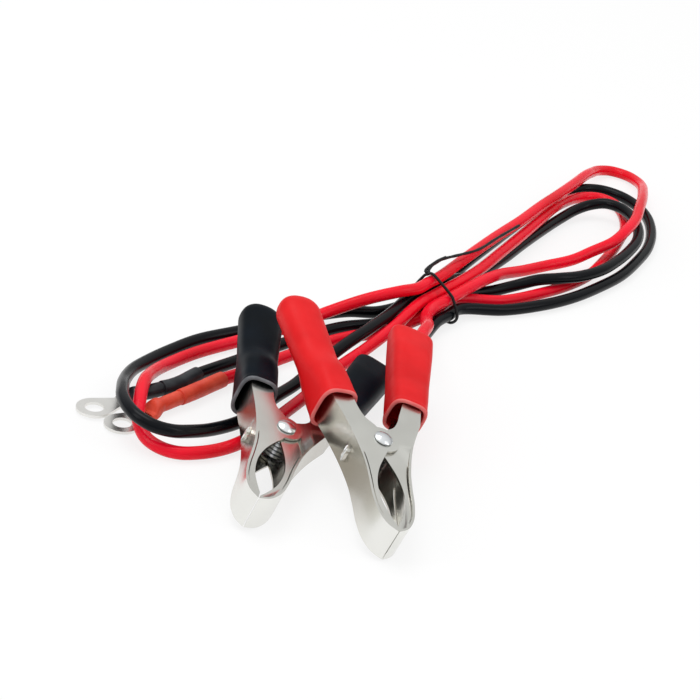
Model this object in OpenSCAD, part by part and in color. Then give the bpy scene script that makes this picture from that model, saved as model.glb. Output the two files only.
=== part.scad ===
// Pair of battery leads, one red and one black. Each lead has a spring clip with
// insulating boots at one end and a ring terminal at the other. The slack of both
// leads lies in one hank, held by a twist tie.
// Frame: millimetres, +Z up, +Y from the clips' jaws towards the hank. The floor is
// z = 0 and the origin is under the middle of the two clips.

/* [Lead] */
// Outer diameter of the insulated lead
lead_d = 4.4; // [3.6:0.1:4.4]
// Diameter of the bare copper strand
strand_d = 2.8; // [1.5:0.1:2.9]
// Length of bare strand at each end
strand_bare = 9; // [5:0.5:10]

/* [Clip levers] */
// Thickness of the lever sheet
sheet_t = 0.8; // [0.5:0.1:1]
// Height of both jaw lips at the seam
lip_h = 12.2; // [11:0.1:12.6]
// Height of the outer lever, over its cheeks
outer_lever_h = 12.2; // [11.8:0.1:12.6]
// Gap between the cheeks of the two levers
cheek_gap = 0.2; // [0.1:0.05:0.3]
// Width of the lever channel inside the boots
handle_w = 6.5; // [5:0.1:7]
// Radius of the ears round the rivet
ear_r = 5.5; // [4.5:0.1:6]
// Gap between the closed lips
seam_gap = 0.3; // [0.2:0.05:0.6]
// Width of the groove between a cheek and its spine
groove_w = 0.35; // [0.2:0.05:0.6]
// Length of the staked cross on the free lever
stake_l = 5.4; // [3:0.1:6]

/* [Rivet] */
// Diameter of the rivet shaft
rivet_d = 4; // [3:0.1:5]
// Radial clearance of the shaft in the ears
rivet_fit = 0.05; // [0.02:0.01:0.1]
// Diameter of the rivet heads
rivet_head_d = 6.2; // [5.5:0.1:8]
// Height of the rivet heads
rivet_head_h = 1.4; // [0.8:0.1:2]
// Gap under each rivet head
rivet_head_gap = 0.15; // [0.1:0.05:0.3]

/* [Spring] */
// Wire diameter of the torsion spring
spring_wire_d = 1.3; // [0.8:0.1:1.4]
// Radius of the spring's wire centre line
spring_r = 4.3; // [3.4:0.1:4.6]
// Length of each straight spring leg
spring_leg = 24; // [14:0.5:26]

/* [Boots] */
// Wall of the insulating boots
boot_wall = 1; // [0.6:0.1:1.2]
// Width of a boot at its mouth
boot_mouth_w = 12.6; // [12:0.1:13.4]
// Width of a boot at its far end
boot_end_w = 15.7; // [15:0.1:16]
// Height of a boot at its far end
boot_end_h = 11.8; // [10.5:0.1:12]
// Reach of the free boot ahead of its handle, towards the rivet
free_reach = 6; // [0:0.5:6]
// Clearance between a boot and the lever inside it
boot_fit = 0.2; // [0.15:0.05:0.3]
// Height of the flattened end of the cable boot
cable_end_h = 8.4; // [7.6:0.1:10]
// Sideways place of the lead in the cable boot's end
exit_side = 4.2; // [2:0.1:4.2]

/* [Ring terminals] */
// Outer diameter of the ring
ring_d = 12; // [10:0.1:13]
// Hole in the ring, for an M6 stud
ring_hole_d = 6.4; // [5.3:0.1:8.4]
// Thickness of the terminal sheet
ring_t = 1; // [0.6:0.1:1.2]
// Width of the tongue between ring and barrel
tongue_w = 5.4; // [4.4:0.1:6]
// Outer diameter of the crimp barrel
barrel_d = 3.9; // [3.7:0.1:4.2]
// Length of the crimp barrel
barrel_l = 9.5; // [6:0.5:10]
// Distance from the ring's centre to the barrel
barrel_start = 16; // [12:0.5:17]
// Wall of the heat-shrink sleeve
shrink_t = 0.4; // [0.3:0.05:0.5]

/* [Tie] */
// Diameter of the coated tie wire
tie_d = 1.1; // [0.8:0.1:1.4]

/* [Pose] */
// Opening angle of the red clip
red_open = 0; // [0:1:20]
// Opening angle of the black clip
black_open = 0; // [0:1:20]

/* [Hidden] */
$fn = 48;

// Colours
red_rubber = [0.84, 0.10, 0.12];
black_rubber = [0.07, 0.08, 0.10];
plated = [0.72, 0.72, 0.69];
bright = [0.86, 0.86, 0.85];
copper = [0.78, 0.45, 0.25];
red_sleeve = [0.88, 0.30, 0.20];
black_sleeve = [0.14, 0.15, 0.16];

// Where each clip's rivet centre stands and how the clip is turned
red_place = [13.96, -17.5, 14.67];
red_turn = [12, 14.4, 11];
black_place = [-16.14, -10.1, 9.92];
black_turn = [4, 16.7, -8.4];

// Handle axis of a lever, from the boot's mouth to its far end
mouth_at = [13.5, 21.9, 0];
end_at = [21.8, 67.6, 0];
boot_l = norm(end_at - mouth_at);
handle_dir = (end_at - mouth_at) / boot_l;
handle_side = [handle_dir.y, -handle_dir.x, 0];
handle_turn = atan2(-handle_dir.x, handle_dir.y);
cheek_end = 4;
spine_end = 36;
spine_tail_h = 8;

// Outer edge of a lever, from the handle to the lip, and the opening's edge
jaw_edge = [[15.4, 13.5], [12, 4], [9.5, -5], [8, -13], [7.5, -20], [7.2, -28],
            [6, -35], [3.5, -39.8], [seam_gap / 2, -42.2]];
mouth_edge = [[0.3, -39.2], [1.7, -36.4], [3.9, -30.7], [4.7, -25], [4.6, -21],
              [3.4, -15.3], [1.3, -10], [-1.1, -5]];
edge_steps = 4;
groove_top = -9;
groove_end = -37.5;

// Heights across the clip
outer_top = outer_lever_h / 2;
inner_top = outer_top - sheet_t - cheek_gap;
inner_free = inner_top - sheet_t;
spring_turns = 4.62;
spring_curl_rings = 12;
wire_sides = 6;
spring_room = 0.15;
spring_pitch = (2 * (inner_free - spring_room) - spring_wire_d) / spring_turns;

// Bends of the lead inside the cable boot, measured along the handle axis
lead_stop = 32;
lead_level = 36.5;
lead_swing = 43;

// Ring terminals: centre of the ring on the floor, heading and slope
red_ring_at = [-67, -0.5];
red_ring_heading = 49;
black_ring_at = [-76.8, 7.5];
black_ring_heading = 38;
ring_slope = 1.2;
ring_lift = 0.47;
ring_low = ring_lift + ring_d / 2 * tan(ring_slope);
barrel_axis_z = barrel_d / 2;
lead_entry = barrel_start + barrel_l + 1;

// Lever details
crotch_edge = [[0, 0], [1.4, 5.2], [5.2, 8.6], [7, 12], [8.2, 16]];
lip_reach = 12;
jaw_reach = 60;
lip_narrow = [-10, 2];
stake_at = [10.1, -3, -1];
stake_lean = 12;
stake_tilt = 27;
stake_rise = 1.15;

// Rivet and spring details
rim_h = 0.4;
leg_rest = 1;

// Boot details
boot_n = 3.4;
free_round = 2.4;
free_round_by = 12;
lever_spread = 0.1;
boot_sides = 28;
boot_mouth = boot_mouth_w / 2;
boot_ease = 11;
boot_full_l = cheek_end + 2;
rim_bead = 0.15;
dome_l = 7;
squeeze_l = 13;
boot_stops = [0, 0.6, 2, 3, 6, 9, 12, 17, 26, 34];
dome_angles = [0, 20, 40, 60, 78];
squeeze_stops = [0.35, 0.7, 0.92, 1];
squeeze_round = [1, 1, 0.97, 0.9];
bead_half = 1.5;
bead_at = 1;
exit_fit = 0.3;

// Lead and sleeve details
lead_inset = -0.1;
strand_rest = 1;
strand_level = 2;
strand_fit = 0.05;
cut_gap = 0.2;
tongue_neck = 3;
tongue_end = 12.5;
tongue_tip = 2;
sleeve_gap = 0.15;
flat_room = 0.4;
bulge_room = 0.45;
shrink_sides = 16;
shrink_reach = 3;
shrink_flat = [10.5, 12.5];
shrink_round = [barrel_start - flat_room, barrel_start + 1.6, barrel_start + barrel_l + 0.1,
                lead_entry - flat_room];
shrink_half_w = [tongue_w / 2 + flat_room, tongue_w / 2 + flat_room, barrel_d / 2 + bulge_room,
                 barrel_d / 2 + sleeve_gap, barrel_d / 2 + sleeve_gap,
                 strand_d / 2 + flat_room];
shrink_half_h = [ring_t / 2 + flat_room, ring_t / 2 + flat_room, barrel_d / 2 + bulge_room,
                 barrel_d / 2 + sleeve_gap, barrel_d / 2 + sleeve_gap,
                 strand_d / 2 + flat_room];
shrink_power = [6, 6, 2.4];

// Tie details: the free end's points, then the ring, then the short twisted end
tie_gap = 0.35;
tie_climb = 1.3 * tie_d;
tie_from = 105;
tie_step = 15;
tie_tail = [[72, 178, 15.4], [63, 163, 15.6], [54, 147, 16], [46, 137.5, 16.8],
            [39, 129, 17.6], [34.5, 121, 17]];
tie_short_end = [[33, 119, 16.5], [37, 125, 18.4], [40.5, 129, 18.9]];

// Hank: where the tie holds the runs, the direction of the runs, and each run's place
// beside the middle and above the floor
hank_shift = [0.76, 4.1, 0];
tie_at = [37, 116];
run_dir = [0.55, 0.835] / norm([0.55, 0.835]);
run_side = [run_dir.y, -run_dir.x];
lead_low = 3.7;
red_out_slot = [5.2, 8.4];
red_back_slot = [-2.6, 13];
red_inner_slot = [0, 8.4];
red_ring_slot = [2.6, lead_low];
black_out_slot = [7.9, lead_low];
black_back_slot = [-7.9, lead_low];
black_inner_slot = [-5.2, 8.4];
black_ring_slot = [-2.7, lead_low];
held_near = 8;
held_far = 14;

// Points that the red lead passes, in order from its clip to its ring
red_start = [
    [31, 61, 21.6], [32, 70, 18.6], [32.6, 80, 14.5], [33.5, 90, 10.8], [34.4, 99, 8.8]];
red_outer_loop = [
    [56, 135.5, 8.2], [61, 143, 7.6], [66, 151, 6], [74, 161, 3.8], [84, 170, 3.4],
    [95, 176, 5], [103, 182, 7.2], [111.5, 188, 10], [118, 198, 12.3], [122.5, 209, 12.7],
    [125.5, 222, 12.3], [128.5, 236, 10.6], [131.5, 254, 7.4], [132.9, 266, 4.8],
    [132.2, 275, 3.2], [128.5, 282.5, 2.4], [122, 285.5, 2.3], [115.8, 281.5, 3.2],
    [112, 274, 4.8], [108, 264, 7], [101, 246, 9.5], [92, 225, 11.8], [83, 208, 12.2],
    [74, 190.5, 12.2], [63, 171, 12.2], [51, 148, 12.4]];
red_left_loop = [
    [24, 106, 13], [12, 100.5, 10.6], [0, 94.5, 7], [-10, 87, 4.6], [-20, 79, 3],
    [-32, 69, 2.3], [-46, 55.5, 2.3], [-56, 41, 3.2], [-60, 29, 5.8], [-62, 17, 8.5],
    [-62.5, 6, 8.1], [-62, -4, 5.6], [-59, -11, 3.4], [-54, -15, 2.5], [-48, -16.5, 2.3],
    [-41, -14.5, 2.3], [-34, -10, 2.3], [-28, -3.5, 2.3], [-21, 8, 2.3], [-14, 22, 2.3],
    [-8, 34, 2.3], [2, 56, 2.8], [13, 73, 4.6], [23, 90, 6.6], [28, 100, 7.9]];
red_inner_loop = [
    [49, 135, 7.9], [56, 147.5, 7.6], [66, 168.5, 7.3], [75.5, 188.5, 7.3], [84.5, 208, 7.3],
    [91, 223, 6.6], [97, 236.5, 4.4], [102.3, 246, 2.8], [107.7, 251, 2.3], [114, 252, 2.3],
    [119.3, 248, 2.3], [122, 239, 2.3], [121.5, 222, 2.3], [118, 210, 2.3], [114, 198, 2.3],
    [108, 183, 2.3], [101.5, 169.5, 2.3], [93, 158, 2.3], [82, 147, 2.3], [65, 134, 2.3]];
red_ring_run = [
    [20, 93.5, 2.3], [7, 84.5, 2.3], [-2, 76.5, 2.3], [-17, 60, 2.3], [-30, 44.5, 2.4],
    [-36.5, 37, 2.8], [-42, 29.5, 2.9]];

// Points that the black lead passes, in order from its clip to its ring
black_start = [
    [24, 61, 8.2], [27, 71, 6.4], [31, 83, 3.8], [35, 95, 2.8]];
black_outer_loop = [
    [65, 126, 2.3], [80, 135, 2.3], [93, 146, 2.3], [105, 160, 2.3], [115, 174, 2.3],
    [123, 190, 2.3], [129, 205, 2.3], [132.5, 222, 2.3], [132.5, 238, 2.3], [129, 250, 2.3],
    [123, 258, 2.3], [115.5, 261.5, 2.3], [108, 260, 2.3], [102, 255, 2.3], [95, 246, 2.3],
    [85, 229, 2.3], [75, 209, 2.3], [65.5, 190, 2.3], [55.5, 170, 2.3], [46, 150, 2.3]];
black_left_loop = [
    [17, 107.5, 2.8], [6, 103, 3.5], [-6, 96.5, 3], [-18, 87.5, 2.5], [-33, 76, 2.3],
    [-46, 65.5, 2.3], [-55, 54.5, 2.3], [-62, 43, 3], [-66.5, 32, 4.5], [-68.5, 19, 7],
    [-68.5, 8, 9.6], [-67.8, -1, 11.2], [-65.5, -8, 11.6], [-62, -13, 11.3],
    [-57, -15.6, 10.3], [-51, -14.6, 8.8], [-45, -10, 7], [-38, -2.2, 4.6], [-29.5, 9, 2.7],
    [-23, 21, 2.3], [-18, 31, 2.3], [-12, 41, 2.4], [-7, 50, 3.4], [-1, 60, 5], [6, 71, 6.7],
    [14, 84, 7.5], [21.5, 98, 7.8]];
black_inner_loop = [
    [41.5, 132.5, 7.6], [46.5, 141, 5.2], [52, 149, 3.2], [58, 157, 2.4], [67.5, 173, 2.3],
    [77, 191.5, 2.3], [87, 210, 2.3], [94.5, 222.5, 2.6], [101.5, 231, 4], [107.5, 235, 5.4],
    [113.5, 235.6, 6.8], [119, 231.8, 7.5], [123, 224.5, 7.6], [124.7, 211, 7.6],
    [123, 199, 7.5], [118.5, 187.5, 7.3], [112, 175, 7.3], [105, 164.5, 7.3], [96, 156, 7.3],
    [87.5, 151, 7.4], [79, 148.5, 6.5], [70, 145.5, 4], [61, 141, 2.4], [51.5, 136, 2.3]];
black_ring_run = [
    [19, 100, 2.3], [5, 92, 2.3], [-5, 83.5, 2.3], [-18, 70, 2.3], [-32, 53.5, 2.3],
    [-39, 45.5, 2.5], [-45, 38, 2.8], [-49, 31.5, 2.9]];

// Shared functions

function unit(v) = v / norm(v);
function flat(v) = [v.x, v.y];

// One point of a smooth curve through b and c, with neighbours a and e
function curve_point(a, b, c, e, t) =
    let (d1 = sqrt(norm(b - a)), d2 = sqrt(norm(c - b)), d3 = sqrt(norm(e - c)),
         m1 = d2 * ((b - a) / d1 - (c - a) / (d1 + d2) + (c - b) / d2),
         m2 = d2 * ((c - b) / d2 - (e - b) / (d2 + d3) + (e - c) / d3))
    (2 * t ^ 3 - 3 * t ^ 2 + 1) * b + (t ^ 3 - 2 * t ^ 2 + t) * m1
    + (3 * t ^ 2 - 2 * t ^ 3) * c + (t ^ 3 - t ^ 2) * m2;

// Smooth curve through every point of p, n steps from each point to the next
function curve(p, n) =
    let (last = len(p) - 1)
    [for (i = [0:last - 1], k = [0:n - 1])
        curve_point(i == 0 ? 2 * p[0] - p[1] : p[i - 1], p[i], p[i + 1],
                    i == last - 1 ? 2 * p[last] - p[last - 1] : p[i + 2], k / n),
     p[last]];

// Direction of a path at each of its points
function headings(p) =
    [for (i = [0:len(p) - 1])
        unit(p[min(i + 1, len(p) - 1)] - p[max(i - 1, 0)])];

function first_side(t) = unit(cross(t, abs(t.z) < 0.9 ? [0, 0, 1] : [1, 0, 0]));

// Sideways direction carried along a path without twist
function sides_along(t) =
    [for (i = 0, s = first_side(t[0]); i < len(t);
          i = i + 1,
          s = i < len(t) ? unit(s - (s * t[i]) * t[i]) : s) s];

function ring(c, s, up, r, n) =
    [for (j = [0:n - 1]) c + r * (cos(360 * j / n) * s + sin(360 * j / n) * up)];

// Distance from a point to a segment
function reach(p, a, b) =
    let (t = max(0, min(1, (p - a) * (b - a) / ((b - a) * (b - a)))))
    norm(p - a - t * (b - a));

// Least centre distance between two paths, or of one path to its own other runs
function least_reach(p, q, skip) =
    min([for (i = [0:len(p) - 1], j = [0:len(q) - 2])
            if (abs(i - j) > skip) reach(p[i], q[j], q[j + 1])]);

function path_length(p) =
    [for (i = 0, s = 0; i < len(p); i = i + 1,
          s = i < len(p) ? s + norm(p[i] - p[i - 1]) : s) s][len(p) - 1];

// Shared shapes

// Closed surface through equal rings of points, with both ends capped
module skin(rings) {
    n = len(rings[0]);
    m = len(rings);
    hubs = [for (r = [rings[0], rings[m - 1]])
               [for (k = [0:2]) [for (q = r) q[k]] * [for (q = r) 1] / n]];
    first_hub = n * m;
    last_hub = first_hub + 1;
    polyhedron(
        points = concat([for (r = rings) each r], hubs),
        faces = concat(
            [for (i = [0:m - 2], j = [0:n - 1])
                [n * i + j, n * i + (j + 1) % n, n * (i + 1) + (j + 1) % n]],
            [for (i = [0:m - 2], j = [0:n - 1])
                [n * i + j, n * (i + 1) + (j + 1) % n, n * (i + 1) + j]],
            [for (j = [0:n - 1]) [first_hub, (j + 1) % n, j]],
            [for (j = [0:n - 1])
                [last_hub, n * (m - 1) + j, n * (m - 1) + (j + 1) % n]]));
}

// Round tube along a path
module tube(path, r, sides) {
    t = headings(path);
    s = sides_along(t);
    skin([for (i = [0:len(path) - 1])
             ring(path[i], s[i], cross(s[i], t[i]), r, sides)]);
}

// Places a shape of a clip where that clip lies
module red_clip() {
    translate(red_place)
        rotate(red_turn)
            children();
}

module black_clip() {
    translate(black_place)
        rotate(black_turn)
            children();
}

// Turns the free lever's pieces about the rivet
module opened(angle) {
    rotate([0, 0, -angle])
        mirror([1, 0, 0])
            children();
}

// Frame of a handle: Y along it from the boot's mouth, X outwards
module on_handle() {
    translate(mouth_at)
        rotate([0, 0, handle_turn])
            children();
}

function handle_point(s, x) = mouth_at + handle_dir * s + handle_side * x;

// Levers

function inset(p, d) =
    let (t = headings(p))
    [for (i = [0:len(p) - 1]) p[i] + d * [t[i].y, -t[i].x]];

function reversed(p) = [for (i = [1:len(p)]) p[len(p) - i]];

spine_curve = curve(jaw_edge, edge_steps);
handle_outer = flat(handle_point(0, handle_w / 2));
cheek_outer = flat(handle_point(cheek_end, handle_w / 2));
tail_outer = flat(handle_point(spine_end, handle_w / 2));
handle_inner = flat(handle_point(0, -handle_w / 2));
cheek_inner = flat(handle_point(cheek_end, -handle_w / 2));
spine_line = concat([cheek_outer, handle_outer], spine_curve);

module spine_band() {
    polygon(concat(spine_line, reversed(inset(spine_line, sheet_t))));
}

module cheek_shape() {
    difference() {
        union() {
            polygon(concat(spine_line, curve(mouth_edge, edge_steps),
                           curve(crotch_edge, edge_steps), [handle_inner, cheek_inner]));
            circle(r = ear_r);
        }
        groove_shape();
    }
}

// Narrow slot that parts a jaw's cheek from its spine
module groove_shape() {
    slot_line = [for (p = spine_curve) if (p.y < groove_top && p.y > groove_end) p];
    polygon(concat(inset(slot_line, sheet_t),
                   reversed(inset(slot_line, sheet_t + groove_w))));
}

// Everything on the other side of the seam between the lips
module past_seam() {
    translate([seam_gap / 2 - lip_reach, jaw_edge[len(jaw_edge) - 1].y - lip_reach,
               -outer_lever_h])
        cube([lip_reach, lip_reach + lip_h / 2, 2 * outer_lever_h]);
}

// Height of the spine seen from the side, from its lip to the handle
module spine_profile(top) {
    rotate([90, 0, 90])
        linear_extrude(2 * tail_outer.x)
            polygon([[-jaw_reach, -lip_h / 2], [lip_narrow.x, -lip_h / 2],
                     [lip_narrow.y, -top], [tail_outer.y, -top],
                     [tail_outer.y, top], [lip_narrow.y, top],
                     [lip_narrow.x, lip_h / 2], [-jaw_reach, lip_h / 2]]);
}

module cheek(z) {
    translate([0, 0, z])
        linear_extrude(sheet_t)
            cheek_shape();
}

module spine_tail() {
    on_handle()
        translate([handle_w / 2 - sheet_t, cheek_end - sheet_t, -spine_tail_h / 2])
            cube([sheet_t, spine_end - cheek_end, spine_tail_h]);
}

// One stamped lever, with its cheeks' outer faces at +top and -top
module lever(top) {
    difference() {
        union() {
            intersection() {
                translate([0, 0, -outer_lever_h])
                    linear_extrude(2 * outer_lever_h)
                        spine_band();
                spine_profile(top);
            }
            cheek(top - sheet_t);
            cheek(-top);
            spine_tail();
        }
        past_seam();
        cylinder(r = rivet_d / 2 + rivet_fit, h = 2 * outer_lever_h, center = true);
    }
}

// Cross staked outwards in the spine beside the rivet
module stake() {
    translate([stake_at.x, stake_at.y, stake_at.z])
        rotate([0, 0, stake_lean])
            for (tilt = [-stake_tilt, stake_tilt])
                rotate([tilt, 0, 0])
                    cube([stake_rise, stake_rise, stake_l], center = true);
}

module cable_jaw() {
    color(plated)
        lever(inner_top);
}

module free_jaw(angle) {
    color(bright)
        opened(angle) {
            lever(outer_top);
            stake();
        }
}

// Rivet and spring

module rivet_head() {
    rise = rivet_head_h;
    edge = rivet_head_d / 2;
    dome_r = (edge ^ 2 + (rise - rim_h) ^ 2) / (2 * (rise - rim_h));
    translate([0, 0, outer_top + rivet_head_gap])
        intersection() {
            cylinder(r = edge, h = rise);
            translate([0, 0, rise - dome_r])
                sphere(r = dome_r);
        }
}

module rivet() {
    color(bright) {
        cylinder(d = rivet_d, h = 2 * (outer_top + rivet_head_gap + rim_h), center = true);
        rivet_head();
        mirror([0, 0, 1])
            rivet_head();
    }
}

// Wire of the torsion spring: lower leg, turns about the rivet, upper leg
module spring() {
    leg_turn = atan2(handle_point(leg_rest, 0).x - spring_r,
                     handle_point(leg_rest, 0).y);
    first = -leg_turn;
    last = first + 360 * spring_turns;
    low = -spring_pitch * spring_turns / 2;
    steps = round(spring_turns * spring_curl_rings);
    turns = [for (i = [0:steps])
                let (a = first + (last - first) * i / steps)
                [spring_r * cos(a), -spring_r * sin(a),
                 low + spring_pitch * spring_turns * i / steps]];
    start_leg = turns[0] + spring_leg * [sin(leg_turn), cos(leg_turn), 0];
    end_leg = turns[steps] + spring_leg * [-sin(leg_turn), cos(leg_turn), 0];
    color(bright)
        tube(concat([start_leg], turns, [end_leg]), spring_wire_d / 2, wire_sides);
}

// Boots

// Height of a boot's mouth that clears a lever with this top
function mouth_half(top, reach) =
    let (x = (handle_w / 2 + lever_spread * reach) / (boot_mouth - boot_wall))
    (top + boot_fit) / (1 - x ^ boot_n) ^ (1 / boot_n) + boot_wall;

function boot_half_w(y) =
    boot_mouth + (boot_end_w / 2 - boot_mouth) * max(0, y) / boot_l;

// Places of a boot's rings, with the first ones close behind its mouth
function boot_line(reach) = [for (y = boot_stops) y < cheek_end ? y - reach : y];

function boot_half_h(y, mouth) =
    let (t = max(0, min(1, (y - boot_full_l) / boot_ease)),
         s = t * t * (3 - 2 * t))
    mouth + (boot_end_h / 2 - mouth) * s;

function signed_power(v, e) = sign(v) * abs(v) ^ e;

// Cross-section of a boot at y along the handle
function oval(y, a, b, n) =
    [for (j = [0:boot_sides - 1])
        let (t = 360 * j / boot_sides)
        [a * signed_power(cos(t), 2 / n), y, b * signed_power(sin(t), 2 / n)]];

// The free boot's section is square-cornered at its mouth and round further on
function free_power(y) =
    let (t = max(0, min(1, y / free_round_by)))
    boot_n + (free_round - boot_n) * t;

// Rim bead at the mouth
function bead(y) = rim_bead * sqrt(max(0, 1 - ((y - bead_at) / bead_half) ^ 2));

module boot_shell(rings_out, rings_in) {
    skin(concat(reversed(rings_in), rings_out));
}

// Closed boot with a domed end
module free_boot_shape() {
    m = mouth_half(outer_top, free_reach);
    stops = boot_line(free_reach);
    dome_at = boot_l - dome_l;
    shell_out = concat(
        [for (y = stops)
            oval(y, boot_half_w(y) + bead(y + free_reach),
                 boot_half_h(y, m) + bead(y + free_reach), free_power(y))],
        [for (a = dome_angles)
            oval(dome_at + dome_l * sin(a), boot_half_w(dome_at) * cos(a),
                 boot_half_h(dome_at, m) * cos(a), free_round)]);
    shell_in = concat(
        [for (y = stops)
            oval(y, boot_half_w(y) - boot_wall, boot_half_h(y, m) - boot_wall,
                 free_power(y))],
        [for (a = dome_angles)
            oval(dome_at + (dome_l - boot_wall) * sin(a),
                 (boot_half_w(dome_at) - boot_wall) * cos(a),
                 (boot_half_h(dome_at, m) - boot_wall) * cos(a), free_round)]);
    on_handle()
        boot_shell(shell_out, shell_in);
}

// Boot squeezed flat at its far end, where the lead comes out on the outer side
module cable_boot_shape() {
    m = mouth_half(inner_top, 0);
    flat_from = boot_l - squeeze_l;
    last = len(squeeze_stops) - 1;
    shell_out = concat(
        [for (y = boot_stops)
            oval(y, boot_half_w(y) + bead(y), boot_half_h(y, m) + bead(y), boot_n)],
        [for (i = [0:last])
            let (y = flat_from + squeeze_l * squeeze_stops[i])
            oval(y, boot_half_w(y) * squeeze_round[i],
                 squeezed_h(squeeze_stops[i], m) * squeeze_round[i], boot_n)]);
    shell_in = concat(
        [for (y = boot_stops)
            oval(y, boot_half_w(y) - boot_wall, boot_half_h(y, m) - boot_wall, boot_n)],
        [for (i = [0:last - 1])
            let (y = flat_from + (squeeze_l - boot_wall) * squeeze_stops[i])
            oval(y, boot_half_w(y) - boot_wall,
                 squeezed_h(squeeze_stops[i], m) - boot_wall, boot_n)]);
    on_handle()
        difference() {
            boot_shell(shell_out, shell_in);
            translate([exit_side, boot_l - squeeze_l / 2, 0])
                rotate([-90, 0, 0])
                    cylinder(r = lead_d / 2 + exit_fit, h = squeeze_l);
        }
}

function squeezed_h(t, mouth) =
    boot_half_h(boot_l, mouth) + (cable_end_h / 2 - boot_half_h(boot_l, mouth)) * t;

// Leads

function turned(v, a) =
    let (x = [v.x, v.y * cos(a.x) - v.z * sin(a.x), v.y * sin(a.x) + v.z * cos(a.x)],
         y = [x.x * cos(a.y) + x.z * sin(a.y), x.y, -x.x * sin(a.y) + x.z * cos(a.y)])
    [y.x * cos(a.z) - y.y * sin(a.z), y.x * sin(a.z) + y.y * cos(a.z), y.z];

// Lead inside a cable boot, from its cut end to just past the boot
function boot_run(place, turn) =
    [for (q = [[lead_inset, lead_stop], [lead_inset, lead_level],
               [exit_side, lead_swing], [exit_side, boot_l],
               [exit_side, boot_l + lead_d]])
        place + turned(handle_point(q.y, q.x), turn)];

// A ring terminal's own point q, in the hank's frame
function on_terminal_at(at, heading, q) =
    hank_shift + [at.x, at.y, ring_low] + turned(q, [0, -ring_slope, heading]);

// Point on a ring terminal's barrel axis, s from the ring's centre
function on_barrel(at, heading, s) =
    on_terminal_at(at, heading, [s, 0, barrel_axis_z]);

function barrel_run(at, heading) =
    [on_barrel(at, heading, lead_entry + lead_d), on_barrel(at, heading, lead_entry)];

// Point of a run under the tie, s along the run
function held(place, s) =
    hank_shift
    + [tie_at.x + run_side.x * place.x + run_dir.x * s,
       tie_at.y + run_side.y * place.x + run_dir.y * s, place.y];

function shifted(points) = [for (p = points) p + hank_shift];

function passed(place, s0, s1) = [for (s = [s0, 0, s1]) held(place, s)];

red_route = concat(
    boot_run(red_place, red_turn), shifted(red_start), passed(red_out_slot, -held_near, held_near),
    shifted(red_outer_loop), passed(red_back_slot, held_near, -held_near), shifted(red_left_loop),
    passed(red_inner_slot, -held_near, held_near), shifted(red_inner_loop),
    passed(red_ring_slot, held_far, -held_near), shifted(red_ring_run),
    barrel_run(red_ring_at, red_ring_heading));

black_route = concat(
    boot_run(black_place, black_turn), shifted(black_start),
    passed(black_out_slot, -held_near, held_near), shifted(black_outer_loop),
    passed(black_back_slot, held_near, -held_near), shifted(black_left_loop),
    passed(black_inner_slot, -held_near, held_near), shifted(black_inner_loop),
    passed(black_ring_slot, held_far, -held_near), shifted(black_ring_run),
    barrel_run(black_ring_at, black_ring_heading));

lead_steps = 2;
lead_sides = 8;
check_steps = 3;
check_skip = 9;

module lead(route) {
    path = curve(route, lead_steps);
    fine = curve(route, check_steps);
    echo(length = path_length(fine),
         least_gap_to_itself = least_reach(fine, fine, check_skip) - lead_d);
    tube(path, lead_d / 2, lead_sides);
}

// Bare strand from the lead's end down to the spine of the cable lever
module clip_strand() {
    on_handle()
        tube([[lead_inset, lead_stop - cut_gap, 0], [lead_inset, lead_stop - strand_level, 0],
              [strand_rest, lead_stop - strand_bare / 2, 0],
              [strand_rest, lead_stop - strand_bare, 0]], strand_d / 2, lead_sides);
}

// Ring terminals

module on_terminal(at, heading) {
    translate(hank_shift + [at.x, at.y, ring_low])
        rotate([0, -ring_slope, heading])
            children();
}

module ring_plate() {
    linear_extrude(ring_t)
        hull() {
            circle(d = ring_d);
            translate([ring_d / 2, -tongue_w / 2])
                square([tongue_neck, tongue_w]);
        }
    linear_extrude(ring_t)
        polygon([[0, -tongue_w / 2], [tongue_end, -tongue_w / 2],
                 [barrel_start - ring_lift, -tongue_tip / 2],
                 [barrel_start + 1, -tongue_tip / 2], [barrel_start + 1, tongue_tip / 2],
                 [barrel_start - ring_lift, tongue_tip / 2],
                 [tongue_end, tongue_w / 2], [0, tongue_w / 2]]);
}

module ring_terminal() {
    color(bright)
        difference() {
            union() {
                ring_plate();
                translate([barrel_start, 0, barrel_axis_z])
                    rotate([0, 90, 0])
                        cylinder(d = barrel_d, h = barrel_l);
            }
            cylinder(d = ring_hole_d, h = 4 * ring_t, center = true);
            translate([barrel_start + 1 + ring_t, 0, barrel_axis_z])
                rotate([0, 90, 0])
                    cylinder(d = strand_d + 2 * strand_fit, h = barrel_l);
        }
}

module ring_strand() {
    translate([barrel_start + 2 + ring_t, 0, barrel_axis_z])
        rotate([0, 90, 0])
            cylinder(d = strand_d, h = lead_entry - barrel_start - 2 - ring_t - cut_gap);
}

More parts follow.
